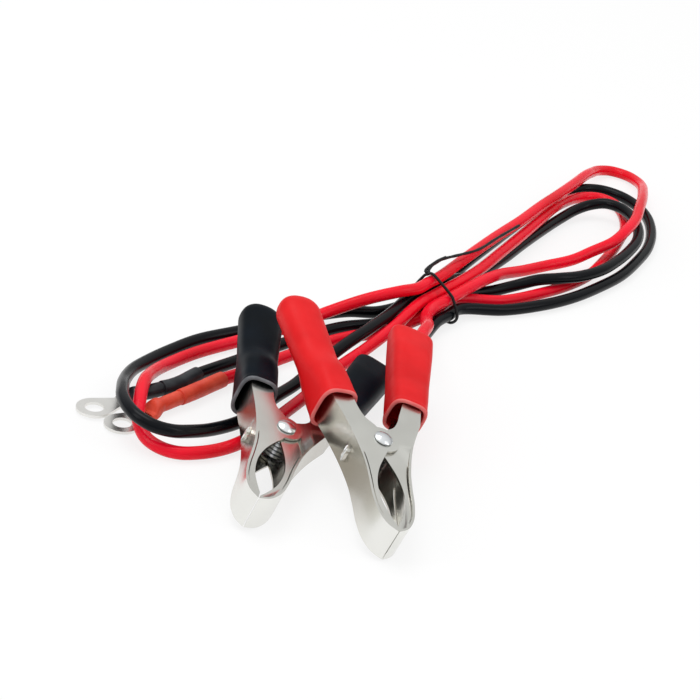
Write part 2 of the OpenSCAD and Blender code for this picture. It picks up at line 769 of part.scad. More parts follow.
// Sleeve from the tongue, over the crimped barrel, to the lead
module heat_shrink(at, heading, route) {
    fine = curve(route, lead_steps);
    last = len(fine) - 1;
    path = concat([for (s = shrink_flat) on_terminal_at(at, heading, [s, 0, ring_t / 2])],
                  [for (s = shrink_round) on_barrel(at, heading, s)],
                  [for (i = [0:shrink_reach * lead_steps]) fine[last - i]]);
    n = len(path);
    t = headings(path);
    s = sides_along(t);
    wide = concat(shrink_half_w, [for (i = [len(shrink_half_w):n - 1]) lead_d / 2 + sleeve_gap]);
    high = concat(shrink_half_h, [for (i = [len(shrink_half_h):n - 1]) lead_d / 2 + sleeve_gap]);
    loops = function(grow)
        [for (i = [0:n - 1])
            [for (j = [0:shrink_sides - 1])
                let (a = 360 * j / shrink_sides,
                     e = 2 / (i < len(shrink_power) ? shrink_power[i] : 2))
                path[i] + (wide[i] + grow) * signed_power(cos(a), e) * s[i]
                + (high[i] + grow) * signed_power(sin(a), e) * cross(s[i], t[i])]];
    skin_loop(concat(loops(shrink_t), reversed(loops(0))));
}

// Closed surface whose last ring joins its first
module skin_loop(rings) {
    n = len(rings[0]);
    m = len(rings);
    polyhedron(
        points = [for (r = rings) each r],
        faces = concat(
            [for (i = [0:m - 1], j = [0:n - 1])
                let (k = (i + 1) % m)
                [n * i + j, n * i + (j + 1) % n, n * k + (j + 1) % n]],
            [for (i = [0:m - 1], j = [0:n - 1])
                let (k = (i + 1) % m)
                [n * i + j, n * k + (j + 1) % n, n * k + j]]));
}

// Twist tie: one wire round all the runs, with its twisted tail on top

function tie_support(a) =
    let (d = [cos(a), sin(a)],
         slots = [red_out_slot, red_back_slot, red_inner_slot, red_ring_slot,
                  black_out_slot, black_back_slot, black_inner_slot, black_ring_slot],
         best = max([for (p = slots) p * d]),
         place = [for (p = slots) if (p * d == best) p][0])
    place + (lead_d / 2 + tie_gap + tie_d / 2) * d;

module tie_wire() {
    loop = [for (a = [tie_from:tie_step:tie_from + 360 - tie_step])
               let (q = tie_support(a)) held(q, tie_climb * (a - tie_from) / 360)];
    tube(concat(curve(concat(shifted(tie_tail), [loop[0]]), lead_steps),
                [for (i = [1:len(loop) - 1]) loop[i]], shifted(tie_short_end)),
         tie_d / 2, wire_sides);
}

module red_cable_jaw() { red_clip() cable_jaw(); }
module red_free_jaw() { red_clip() free_jaw(red_open); }
module red_rivet() { red_clip() rivet(); }
module red_spring() { red_clip() spring(); }
module red_cable_boot() { color(red_rubber) red_clip() cable_boot_shape(); }
module red_free_boot() { color(red_rubber) red_clip() opened(red_open) free_boot_shape(); }
module red_clip_strand() { color(copper) red_clip() clip_strand(); }
module red_lead() { color(red_rubber) lead(red_route); }
module red_ring_terminal() { on_terminal(red_ring_at, red_ring_heading) ring_terminal(); }
module red_ring_strand() {
    color(copper)
        on_terminal(red_ring_at, red_ring_heading)
            ring_strand();
}
module red_heat_shrink() {
    color(red_sleeve)
        heat_shrink(red_ring_at, red_ring_heading, red_route);
}
module black_cable_jaw() { black_clip() cable_jaw(); }
module black_free_jaw() { black_clip() free_jaw(black_open); }
module black_rivet() { black_clip() rivet(); }
module black_spring() { black_clip() spring(); }
module black_cable_boot() { color(black_rubber) black_clip() cable_boot_shape(); }
module black_free_boot() {
    color(black_rubber)
        black_clip()
            opened(black_open)
                free_boot_shape();
}
module black_clip_strand() { color(copper) black_clip() clip_strand(); }
module black_lead() { color(black_rubber) lead(black_route); }
module black_ring_terminal() {
    on_terminal(black_ring_at, black_ring_heading)
        ring_terminal();
}
module black_ring_strand() {
    color(copper)
        on_terminal(black_ring_at, black_ring_heading)
            ring_strand();
}
module black_heat_shrink() {
    color(black_sleeve)
        heat_shrink(black_ring_at, black_ring_heading, black_route);
}
module twist_tie() { color(black_sleeve) tie_wire(); }

red_cable_jaw();
red_free_jaw();
red_rivet();
red_spring();
red_cable_boot();
red_free_boot();
red_clip_strand();
red_lead();
red_ring_terminal();
red_ring_strand();
red_heat_shrink();
black_cable_jaw();
black_free_jaw();
black_rivet();
black_spring();
black_cable_boot();
black_free_boot();
black_clip_strand();
black_lead();
black_ring_terminal();
black_ring_strand();
black_heat_shrink();
twist_tie();
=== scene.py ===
import math

import bpy
import bmesh
from mathutils import Euler, Matrix, Vector, noise


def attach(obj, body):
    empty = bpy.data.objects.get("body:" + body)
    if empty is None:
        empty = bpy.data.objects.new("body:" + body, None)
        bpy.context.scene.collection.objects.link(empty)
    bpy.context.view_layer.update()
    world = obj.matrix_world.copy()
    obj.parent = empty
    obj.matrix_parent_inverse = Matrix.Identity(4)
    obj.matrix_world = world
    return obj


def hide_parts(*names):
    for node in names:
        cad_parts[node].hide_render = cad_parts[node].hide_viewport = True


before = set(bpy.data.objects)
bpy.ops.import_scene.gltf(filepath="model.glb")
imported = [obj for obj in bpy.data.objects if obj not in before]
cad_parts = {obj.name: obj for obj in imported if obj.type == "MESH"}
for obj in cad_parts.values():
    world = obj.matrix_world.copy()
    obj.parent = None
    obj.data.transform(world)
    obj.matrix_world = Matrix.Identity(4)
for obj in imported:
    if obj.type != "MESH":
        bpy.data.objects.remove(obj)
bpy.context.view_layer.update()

# A pair of battery charger leads. Lists, constants and matrices are in millimetres, and
# point() or MM turns them into metres. The camera, the stage and the lamps are in metres.
MM = 0.001


def point(p):
    return Vector(p) * MM


def mix(a, b, t):
    return a + (b - a) * t


def clamp(t):
    return max(0.0, min(1.0, t))


def ease(t):
    return t * t * (3 - 2 * t)


def around(count):
    """The angles of count points round a circle."""
    return [2 * math.pi * j / count for j in range(count)]


# ---------------------------------------------------------------- camera

PHOTO_LENS = 123.43
camera_data = bpy.data.cameras.new("camera")
camera_data.lens = PHOTO_LENS
camera_data.sensor_width = 36
camera_data.clip_start = 0.01
camera = bpy.data.objects.new("camera", camera_data)
bpy.context.scene.collection.objects.link(camera)
CAMERA_RIGHT = Vector((0.98775, 0.0, 0.15607))
CAMERA_UP = Vector((-0.13986, 0.44381, 0.88514))
CAMERA_BACK = Vector((-0.06927, -0.89612, 0.43837))
CAMERA_AT = Vector((-0.050598, -0.679352, 0.372922))
turn = Matrix((CAMERA_RIGHT, CAMERA_UP, CAMERA_BACK)).transposed()
camera.matrix_world = Matrix.Translation(CAMERA_AT) @ turn.to_4x4()
bpy.context.scene.camera = camera

# ---------------------------------------------------------------- sizes

LEAD_D = 4.4
STRAND_D = 2.8
BARREL_D = 3.9
BARREL_L = 9.5
BARREL_START = 16.0
LEAD_ENTRY = BARREL_START + BARREL_L + 1
RING_D = 12
RING_T = 1.0
TONGUE_W = 5.4
TIE_D = 1.1
SPRING_WIRE_D = 1.3
SPRING_R = 4.3
SPRING_LEG = 24.0
SPRING_TURNS = 4.62
SHEET_T = 0.8
OUTER_TOP = 6.1
INNER_TOP = 5.1
HANDLE_W = 6.5
CHEEK_END = 4.0
SHRINK_T = 0.4

# Each clip's rivet and its turn in degrees. In a clip, the jaws point to -Y and the rivet is Z.
CLIPS = {"red": ((13.96, -17.5, 14.67), (12, 14.4, 11)),
         "black": ((-16.14, -10.1, 9.92), (4, 16.7, -8.4))}
# Each ring's middle, before HANK_SHIFT, and the heading of its tongue in degrees.
RINGS = {"red": ((-67, -0.5), 49), "black": ((-76.8, 7.5), 38)}
RING_SLOPE = 1.2
RING_REST = 0.47
RING_LOW = RING_REST + RING_D / 2 * math.tan(math.radians(RING_SLOPE))

# The hank is tied at TIE_AT, where its runs lie in SLOTS: (place across the runs, height).
HANK_SHIFT = Vector((0.76, 4.1, 0))
TIE_AT = (37, 116)
RUN_DIR = Vector((0.55, 0.835)).normalized()
RUN_SIDE = Vector((RUN_DIR.y, -RUN_DIR.x))
HELD_NEAR = 8
HELD_FAR = 14
SLOTS = {"red_out": (5.2, 8.4), "red_back": (-2.6, 13), "red_inner": (0, 8.4),
         "red_ring": (2.6, 3.7), "black_out": (7.9, 3.7), "black_back": (-7.9, 3.7),
         "black_inner": (-5.2, 8.4), "black_ring": (-2.7, 3.7)}

# A boot's middle line in its clip, from the mouth to the far end.
MOUTH_AT = Vector((13.5, 21.9, 0))
END_AT = Vector((21.8, 67.6, 0))
BOOT_L = (END_AT - MOUTH_AT).length
HANDLE_DIR = (END_AT - MOUTH_AT) / BOOT_L
HANDLE_SIDE = Vector((HANDLE_DIR.y, -HANDLE_DIR.x, 0))

# The lead inside its boot: its end, where it starts and stops swinging out, and its place
# across before and after that.
LEAD_STOP, LEAD_LEVEL, LEAD_SWING, LEAD_INSET, EXIT_SIDE = 32, 36.5, 43, -0.1, 4.2


def handle_point(s, x):
    """A point of the clip, s along the boot's middle line and x outwards from it."""
    return MOUTH_AT + HANDLE_DIR * s + HANDLE_SIDE * x


def clip_matrix(colour):
    place, turned = CLIPS[colour]
    angles = [math.radians(a) for a in turned]
    return Matrix.Translation(Vector(place)) @ Euler(angles, "XYZ").to_matrix().to_4x4()


def terminal_matrix(colour):
    at, heading = RINGS[colour]
    place = HANK_SHIFT + Vector((at[0], at[1], RING_LOW))
    angles = (0, math.radians(-RING_SLOPE), math.radians(heading))
    return Matrix.Translation(place) @ Euler(angles, "XYZ").to_matrix().to_4x4()


HANDLE = (Matrix.Translation(MOUTH_AT)
          @ Matrix.Rotation(math.atan2(-HANDLE_DIR.x, HANDLE_DIR.y), 4, "Z"))
MIRROR = Matrix.Scale(-1, 4, (1, 0, 0))

# ---------------------------------------------------------------- routes

# Points of the leads' and the tie's middle lines in the hank, between the slots.
RED_START = [
    [31, 61, 21.6], [32, 70, 18.6], [32.6, 80, 14.5], [33.5, 90, 10.8], [34.4, 99, 8.8]]

RED_OUTER_LOOP = [
    [56, 135.5, 8.2], [61, 143, 7.6], [66, 151, 6], [74, 161, 3.8], [84, 170, 3.4],
    [95, 176, 5], [103, 182, 7.2], [111.5, 188, 10], [118, 198, 12.3], [122.5, 209, 12.7],
    [125.5, 222, 12.3], [128.5, 236, 10.6], [131.5, 254, 7.4], [132.9, 266, 4.8],
    [132.2, 275, 3.2], [128.5, 282.5, 2.4], [122, 285.5, 2.3], [115.8, 281.5, 3.2],
    [112, 274, 4.8], [108, 264, 7], [101, 246, 9.5], [92, 225, 11.8], [83, 208, 12.2],
    [74, 190.5, 12.2], [63, 171, 12.2], [51, 148, 12.4]]

RED_LEFT_LOOP = [
    [24, 106, 13], [12, 100.5, 10.6], [0, 94.5, 7], [-10, 87, 4.6], [-20, 79, 3],
    [-32, 69, 2.3], [-46, 55.5, 2.3], [-56, 41, 3.2], [-60, 29, 5.8], [-62, 17, 8.5],
    [-62.5, 6, 8.1], [-62, -4, 5.6], [-59, -11, 3.4], [-54, -15, 2.5], [-48, -16.5, 2.3],
    [-41, -14.5, 2.3], [-34, -10, 2.3], [-28, -3.5, 2.3], [-21, 8, 2.3], [-14, 22, 2.3],
    [-8, 34, 2.3], [2, 56, 2.8], [13, 73, 4.6], [23, 90, 6.6], [28, 100, 7.9]]

RED_INNER_LOOP = [
    [49, 135, 7.9], [56, 147.5, 7.6], [66, 168.5, 7.3], [75.5, 188.5, 7.3], [84.5, 208, 7.3],
    [91, 223, 6.6], [97, 236.5, 4.4], [102.3, 246, 2.8], [107.7, 251, 2.3], [114, 252, 2.3],
    [119.3, 248, 2.3], [122, 239, 2.3], [121.5, 222, 2.3], [118, 210, 2.3], [114, 198, 2.3],
    [108, 183, 2.3], [101.5, 169.5, 2.3], [93, 158, 2.3], [82, 147, 2.3], [65, 134, 2.3]]

RED_RING_RUN = [
    [20, 93.5, 2.3], [7, 84.5, 2.3], [-2, 76.5, 2.3], [-17, 60, 2.3], [-30, 44.5, 2.4],
    [-36.5, 37, 2.8], [-42, 29.5, 2.9]]

BLACK_START = [
    [24, 61, 8.2], [27, 71, 6.4], [31, 83, 3.8], [35, 95, 2.8]]

BLACK_OUTER_LOOP = [
    [65, 126, 2.3], [80, 135, 2.3], [93, 146, 2.3], [105, 160, 2.3], [115, 174, 2.3],
    [123, 190, 2.3], [129, 205, 2.3], [132.5, 222, 2.3], [132.5, 238, 2.3], [129, 250, 2.3],
    [123, 258, 2.3], [115.5, 261.5, 2.3], [108, 260, 2.3], [102, 255, 2.3], [95, 246, 2.3],
    [85, 229, 2.3], [75, 209, 2.3], [65.5, 190, 2.3], [55.5, 170, 2.3], [46, 150, 2.3]]

BLACK_LEFT_LOOP = [
    [17, 107.5, 2.8], [6, 103, 3.5], [-6, 96.5, 3], [-18, 87.5, 2.5], [-33, 76, 2.3],
    [-46, 65.5, 2.3], [-55, 54.5, 2.3], [-62, 43, 3], [-66.5, 32, 4.5], [-68.5, 19, 7],
    [-68.5, 8, 9.6], [-67.8, -1, 11.2], [-65.5, -8, 11.6], [-62, -13, 11.3],
    [-57, -15.6, 10.3], [-51, -14.6, 8.8], [-45, -10, 7], [-38, -2.2, 4.6], [-29.5, 9, 2.7],
    [-23, 21, 2.3], [-18, 31, 2.3], [-12, 41, 2.4], [-7, 50, 3.4], [-1, 60, 5], [6, 71, 6.7],
    [14, 84, 7.5], [21.5, 98, 7.8]]

BLACK_INNER_LOOP = [
    [41.5, 132.5, 7.6], [46.5, 141, 5.2], [52, 149, 3.2], [58, 157, 2.4], [67.5, 173, 2.3],
    [77, 191.5, 2.3], [87, 210, 2.3], [94.5, 222.5, 2.6], [101.5, 231, 4], [107.5, 235, 5.4],
    [113.5, 235.6, 6.8], [119, 231.8, 7.5], [123, 224.5, 7.6], [124.7, 211, 7.6],
    [123, 199, 7.5], [118.5, 187.5, 7.3], [112, 175, 7.3], [105, 164.5, 7.3], [96, 156, 7.3],
    [87.5, 151, 7.4], [79, 148.5, 6.5], [70, 145.5, 4], [61, 141, 2.4], [51.5, 136, 2.3]]

BLACK_RING_RUN = [
    [19, 100, 2.3], [5, 92, 2.3], [-5, 83.5, 2.3], [-18, 70, 2.3], [-32, 53.5, 2.3],
    [-39, 45.5, 2.5], [-45, 38, 2.8], [-49, 31.5, 2.9]]

TIE_TAIL = [[72, 178, 15.4], [63, 163, 15.6], [54, 147, 16], [46, 137.5, 16.8],
            [39, 129, 17.6], [34.5, 121, 17]]

TIE_SHORT_END = [[33, 119, 16.5], [37, 125, 18.4], [40.5, 129, 18.9]]


def curve_point(a, b, c, e, t):
    """The point at t from b to c on a smooth line through a, b, c and e."""
    d1, d2, d3 = (math.sqrt((q - p).length) for p, q in ((a, b), (b, c), (c, e)))
    m1 = d2 * ((b - a) / d1 - (c - a) / (d1 + d2) + (c - b) / d2)
    m2 = d2 * ((c - b) / d2 - (e - b) / (d2 + d3) + (e - c) / d3)
    return ((2 * t ** 3 - 3 * t ** 2 + 1) * b + (t ** 3 - 2 * t ** 2 + t) * m1
            + (3 * t ** 2 - 2 * t ** 3) * c + (t ** 3 - t ** 2) * m2)


def curve(points, steps):
    """A smooth line through every point, with steps pieces from each to the next."""
    p = [Vector(q) for q in points]
    ends = [2 * p[0] - p[1]] + p + [2 * p[-1] - p[-2]]
    line = [curve_point(*ends[i:i + 4], k / steps)
            for i in range(len(p) - 1) for k in range(steps)]
    return line + [p[-1]]


def held(place, s):
    """The point at a slot's place, s along the runs from the tie."""
    flat = Vector(TIE_AT) + RUN_SIDE * place[0] + RUN_DIR * s
    return HANK_SHIFT + Vector((flat.x, flat.y, place[1]))


def shifted(points):
    return [Vector(p) + HANK_SHIFT for p in points]


def passed(name, near, far):
    """A run through the tie in its slot."""
    return [held(SLOTS[name], s) for s in (near, 0, far)]


def boot_run(colour):
    """The lead's line from its end inside the boot to a little outside."""
    stations = [(LEAD_INSET, LEAD_STOP), (LEAD_INSET, LEAD_LEVEL), (EXIT_SIDE, LEAD_SWING),
                (EXIT_SIDE, BOOT_L), (EXIT_SIDE, BOOT_L + LEAD_D)]
    return [clip_matrix(colour) @ handle_point(s, x) for x, s in stations]


def barrel_run(colour):
    """The lead's line into the crimp barrel."""
    return [terminal_matrix(colour) @ Vector((s, 0, BARREL_D / 2))
            for s in (LEAD_ENTRY + LEAD_D, LEAD_ENTRY)]


ROUTES = {
    "red": (boot_run("red") + shifted(RED_START) + passed("red_out", -HELD_NEAR, HELD_NEAR)
            + shifted(RED_OUTER_LOOP) + passed("red_back", HELD_NEAR, -HELD_NEAR)
            + shifted(RED_LEFT_LOOP) + passed("red_inner", -HELD_NEAR, HELD_NEAR)
            + shifted(RED_INNER_LOOP) + passed("red_ring", HELD_FAR, -HELD_NEAR)
            + shifted(RED_RING_RUN) + barrel_run("red")),
    "black": (boot_run("black") + shifted(BLACK_START)
              + passed("black_out", -HELD_NEAR, HELD_NEAR)
              + shifted(BLACK_OUTER_LOOP) + passed("black_back", HELD_NEAR, -HELD_NEAR)
              + shifted(BLACK_LEFT_LOOP) + passed("black_inner", -HELD_NEAR, HELD_NEAR)
              + shifted(BLACK_INNER_LOOP) + passed("black_ring", HELD_FAR, -HELD_NEAR)
              + shifted(BLACK_RING_RUN) + barrel_run("black")),
}

# ---------------------------------------------------------------- mesh helpers


def link(name, mesh, smooth_angle=40):
    """A piece with smooth faces and creases where they meet at more than smooth_angle."""
    obj = bpy.data.objects.new(name, mesh)
    bpy.context.scene.collection.objects.link(obj)
    mesh.shade_smooth()
    mesh.set_sharp_from_angle(angle=math.radians(smooth_angle))
    return obj


def frames_along(line):
    """(direction, side, up) at each point, carried along without twist."""
    last = len(line) - 1
    ways = [(line[min(i + 1, last)] - line[max(i - 1, 0)]).normalized() for i in range(last + 1)]
    start = Vector((0, 0, 1)) if abs(ways[0].z) < 0.9 else Vector((1, 0, 0))
    side = ways[0].cross(start).normalized()
    found = []
    for way in ways:
        side = (side - side.dot(way) * way).normalized()
        found.append((way, side, side.cross(way)))
    return found


def skin(name, rings, closed=False, slots=None, smooth_angle=40):
    """A surface through rings of millimetre points. closed joins the last to the first.

    slots gives the material slot of each band of faces between two rings."""
    n = len(rings[0])
    verts = [point(p) for ring in rings for p in ring]
    bands = len(rings) if closed else len(rings) - 1
    faces = [(n * i + j, n * i + (j + 1) % n,
              n * ((i + 1) % len(rings)) + (j + 1) % n, n * ((i + 1) % len(rings)) + j)
             for i in range(bands) for j in range(n)]
    if not closed:
        faces += [tuple(reversed(range(n))), tuple(n * (len(rings) - 1) + j for j in range(n))]
    mesh = bpy.data.meshes.new(name)
    mesh.from_pydata(verts, [], faces)
    if slots:
        for face in mesh.polygons:
            face.material_index = slots[min(face.index // n, len(slots) - 1)]
    bm = bmesh.new()
    bm.from_mesh(mesh)
    bmesh.ops.recalc_face_normals(bm, faces=bm.faces)
    bm.to_mesh(mesh)
    bm.free()
    mesh.validate()
    return link(name, mesh, smooth_angle)


def tube(name, line, radius, sides, swell=None):
    """A round tube along millimetre points. swell(i) scales the radius at point i."""
    rings = []
    for i, (p, (way, side, up)) in enumerate(zip(line, frames_along(line))):
        r = radius * (swell(i) if swell else 1)
        rings.append([p + r * (math.cos(a) * side + math.sin(a) * up) for a in around(sides)])
    return skin(name, rings, smooth_angle=60)


# ---------------------------------------------------------------- materials

# Depths are in metres; scales are waves to the metre, and BRUSH draws them out along Y.
PLASTIC_DEPTH, PLASTIC_BUMP = 0.00002, 0.25
METAL_DEPTH, METAL_BUMP, METAL_GRAIN = 0.00001, 0.05, 1500
BRUSH = (900, 60, 900)
COPPER_BRUSH = (2600, 160, 2600)


class Finish:
    """A node material built up from a principled shader."""

    def __init__(self, name, rough, metallic=0.0, **shader):
        self.material = bpy.data.materials.new(name)
        self.material.use_nodes = True
        self.tree = self.material.node_tree
        self.shader = self.tree.nodes["Principled BSDF"]
        self.shader.inputs["Metallic"].default_value = metallic
        self.shader.inputs["Roughness"].default_value = rough
        for key, value in shader.items():
            self.shader.inputs[key.replace("_", " ")].default_value = value
        self.place = self.tree.nodes.new("ShaderNodeTexCoord").outputs["Object"]

    def stretched(self, scale):
        node = self.tree.nodes.new("ShaderNodeMapping")
        node.inputs["Scale"].default_value = scale
        self.tree.links.new(self.place, node.inputs["Vector"])
        return node.outputs["Vector"]

    def noise(self, scale, detail=3.0, where=None):
        node = self.tree.nodes.new("ShaderNodeTexNoise")
        node.inputs["Scale"].default_value = scale
        node.inputs["Detail"].default_value = detail
        self.tree.links.new(where or self.place, node.inputs["Vector"])
        return node.outputs["Fac"]

    def ramp(self, source, stops):
        node = self.tree.nodes.new("ShaderNodeValToRGB")
        self.tree.links.new(source, node.inputs["Fac"])
        while len(node.color_ramp.elements) < len(stops):
            node.color_ramp.elements.new(0.5)
        for element, (at, colour) in zip(node.color_ramp.elements, stops):
            element.position = at
            element.color = (*colour, 1)
        return node.outputs["Color"]

    def spread(self, source, low, high, socket):
        node = self.tree.nodes.new("ShaderNodeMapRange")
        node.inputs["To Min"].default_value = low
        node.inputs["To Max"].default_value = high
        self.tree.links.new(source, node.inputs["Value"])
        self.tree.links.new(node.outputs["Result"], self.shader.inputs[socket])

    def colour(self, source, *stops):
        """Screen colours over source, each as (place, (red, green, blue))."""
        tones = self.ramp(source, [(at, linear(*tone)) for at, tone in stops])
        self.tree.links.new(tones, self.shader.inputs["Base Color"])

    def bump(self, source, strength, depth):
        node = self.tree.nodes.new("ShaderNodeBump")
        node.inputs["Strength"].default_value = strength
        node.inputs["Distance"].default_value = depth
        self.tree.links.new(source, node.inputs["Height"])
        self.tree.links.new(node.outputs["Normal"], self.shader.inputs["Normal"])

    def metal_grain(self, low, high, brush, patch=None):
        """Roughness from low to high and a shallow bump, in brush lines or else in patches."""
        lines = self.stretched(brush) if brush else None
        self.spread(self.noise(1.0 if brush else patch, 2, lines), low, high, "Roughness")
        self.bump(self.noise(1.0 if brush else METAL_GRAIN, 2, lines), METAL_BUMP, METAL_DEPTH)


def linear(red, green, blue):
    """A shader colour from 0 to 255 screen values."""
    def one(v):
        v /= 255
        return v / 12.92 if v <= 0.04045 else ((v + 0.055) / 1.055) ** 2.4
    return one(red), one(green), one(blue)


def plastic(name, dark, mid, light, rough, gloss=0.3, grain=900, blotch=60):
    f = Finish(name, rough, Specular_IOR_Level=gloss, IOR=1.5)
    f.colour(f.noise(blotch, 4), (0.3, dark), (0.5, mid), (0.72, light))
    f.spread(f.noise(blotch * 3, 3), rough * 0.8, min(1, rough * 1.25), "Roughness")
    f.bump(f.noise(grain, 2), PLASTIC_BUMP, PLASTIC_DEPTH)
    return f.material


def metal(name, dark, mid, light, rough, brush=None, blotch=60):
    f = Finish(name, rough, 1.0)
    f.colour(f.noise(blotch, 2), (0.3, dark), (0.5, mid), (0.7, light))
    f.metal_grain(rough * 0.88, rough * 1.15, brush, blotch * 8)
    return f.material


# Painted light on the spines: a painted reflection brightest at the first Y, and painted shade
# fullest from the second. The tones run from painted highlight to painted shade.
SPINE_PAINTED_HIGHLIGHT_Y, SPINE_PAINTED_SHADE_Y = -38, -8
SPINE_PAINTED_SHADE_FALL, SPINE_CLOUDS, SPINE_BLOTCH = 0.85, 0.2, 90
SPINE_PAINTED_LIGHT_TONES = ((0.05, (238, 238, 234)), (0.3, (228, 227, 221)), (0.62, (208, 205, 198)),
               (1.0, (198, 194, 185)))


def spine_painted_light(colour):
    """The bent back of a jaw, its one plating painted brightest on the lips as a painted
    reflection, and duller towards the handle as painted shade.

    The tone falls by SPINE_PAINTED_SHADE_FALL along the clip's Y, and SPINE_CLOUDS of noise is
    added."""
    f = Finish(f"{colour}_spine_painted_light_plate", 0.24, 1.0)
    place, turned = CLIPS[colour]
    inside = f.tree.nodes.new("ShaderNodeMapping")
    inside.vector_type = "TEXTURE"
    inside.inputs["Location"].default_value = Vector(place) * MM
    inside.inputs["Rotation"].default_value = [math.radians(a) for a in turned]
    f.tree.links.new(f.place, inside.inputs["Vector"])
    parts = f.tree.nodes.new("ShaderNodeSeparateXYZ")
    f.tree.links.new(inside.outputs["Vector"], parts.inputs[0])
    along = f.tree.nodes.new("ShaderNodeMapRange")
    for socket, value in (("From Min", SPINE_PAINTED_HIGHLIGHT_Y * MM), ("From Max", SPINE_PAINTED_SHADE_Y * MM),
                          ("To Min", 0), ("To Max", SPINE_PAINTED_SHADE_FALL)):
        along.inputs[socket].default_value = value
    f.tree.links.new(parts.outputs["Y"], along.inputs["Value"])
    cloudy = f.tree.nodes.new("ShaderNodeMath")
    cloudy.operation = "MULTIPLY_ADD"
    f.tree.links.new(f.noise(SPINE_BLOTCH, 2), cloudy.inputs[0])
    cloudy.inputs[1].default_value = SPINE_CLOUDS
    f.tree.links.new(along.outputs["Result"], cloudy.inputs[2])
    f.colour(cloudy.outputs[0], *SPINE_PAINTED_LIGHT_TONES)
    f.metal_grain(0.2, 0.28, BRUSH)
    return f.material


PLATE_TONES = ((206, 206, 200), (213, 213, 207), (219, 219, 213))
LOOKS = {
    "red_lead": plastic("red_lead_pvc", (226, 6, 30), (238, 9, 38), (245, 16, 48), 0.25,
                        gloss=0.2, blotch=40),
    "black_lead": plastic("black_lead_pvc", (3, 5, 10), (5, 8, 13), (9, 13, 19), 0.24,
                          gloss=0.14, blotch=40),
    "red_boot": plastic("red_boot_pvc", (212, 14, 19), (223, 20, 25), (231, 29, 33), 0.46,
                        gloss=0.16, grain=1400, blotch=70),
    "black_boot": plastic("black_boot_pvc", (3, 10, 17), (6, 15, 24), (12, 23, 33), 0.4,
                          gloss=0.05, grain=1400, blotch=70),
    # The rim looks are the boot colours paled towards white: a painted highlight on the rounded
    # mouth rims.
    "red_rim": plastic("red_boot_rim_painted_highlight", (222, 92, 92), (232, 108, 106), (240, 126, 122), 0.5,
                       grain=1400, blotch=200),
    "black_rim": plastic("black_boot_rim_painted_highlight", (84, 86, 90), (104, 106, 110), (126, 128, 132), 0.5,
                         grain=1400, blotch=200),
    "red_sleeve": plastic("red_sleeve_shrink", (214, 60, 40), (224, 74, 52), (234, 90, 66), 0.42,
                          grain=1200, blotch=220),
    "black_sleeve": plastic("black_sleeve_shrink", (20, 23, 28), (31, 34, 39), (46, 50, 54),
                            0.42, grain=1200, blotch=220),
    "tie": plastic("tie_plastic", (8, 8, 10), (15, 15, 17), (26, 26, 29), 0.45, grain=2500,
                   blotch=400),
    "plate": metal("plated_plate", *PLATE_TONES, 0.24, brush=BRUSH),
    "bright_plate": metal("bright_plate", *PLATE_TONES, 0.22, brush=BRUSH),
    "rivet": metal("rivet_steel", (216, 219, 222), (226, 229, 231), (236, 238, 239), 0.24),
    # The stake's steel is near-white, paler than the plating it is pressed from: a painted
    # highlight.
    "stake": metal("stake_steel_painted_highlight", (236, 238, 238), (244, 245, 245), (250, 251, 251), 0.3),
    "spring": metal("spring_steel", (188, 190, 194), (204, 206, 210), (220, 222, 225), 0.22,
                    blotch=300),
    "tinned": metal("tinned_ring", (224, 223, 219), (233, 232, 228), (241, 240, 237), 0.30),
    "copper": metal("copper_strand", (168, 96, 58), (196, 120, 78), (216, 142, 98), 0.35,
                    brush=COPPER_BRUSH),
}
# Each clip's spine look: a painted reflection on the lips and painted shade towards the handle.
for colour in CLIPS:
    LOOKS[f"{colour}_spine"] = spine_painted_light(colour)


def finish_with(obj, look, slot_name, *more):
    """Puts looks into the object's material slots; slot_name is not used."""
    for i, name in enumerate((look, *more)):
        if i < len(obj.data.materials):
            obj.data.materials[i] = LOOKS[name]
        else:
            obj.data.materials.append(LOOKS[name])


# ---------------------------------------------------------------- cords

CORD_STEPS = 8
CORD_SIDES = 24
for colour, route in ROUTES.items():
    line = curve(route, CORD_STEPS)
    lead = tube(f"{colour}_lead_cord", line, LEAD_D / 2, CORD_SIDES)
    finish_with(lead, f"{colour}_lead", f"{colour}_lead")
    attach(lead, "leads")
    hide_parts(f"{colour}_lead")

# ---------------------------------------------------------------- boots

BOOT_WALL = 1.0
BOOT_MOUTH = 6.3
BOOT_END_W = 15.7
BOOT_END_H = 11.8
BOOT_FIT = 0.2
BOOT_SIDES = 72
BOOT_FROM = CHEEK_END + 2
BOOT_EASE = 11
CABLE_END_H = 8.4
DOME_L = 7.0
SQUEEZE_L = 13.0

# The free boot's mouth lies FREE_REACH nearer the rivet, where its lever is wider.
FREE_REACH = 6.0
LEVER_SPREAD = 0.1

# The power of a section: BOOT_N at the mouth, and the end's own from ROUND_BY on.
BOOT_N = 3.4
FREE_ROUND = 2.4
ROUND_BY = 12.0

# The rim's radius, the bead behind it, and the share by which noise draws the wall in.
RIM = 0.45
RIM_TURNS = (25, 60, 90, 120, 155)
BEAD_RISE, BEAD_AT, BEAD_HALF = 0.15, 1, 1.5
WAVE, END_WAVE, WAVE_FROM, WAVE_SCALE = 0.02, 0.015, 10, 0.12

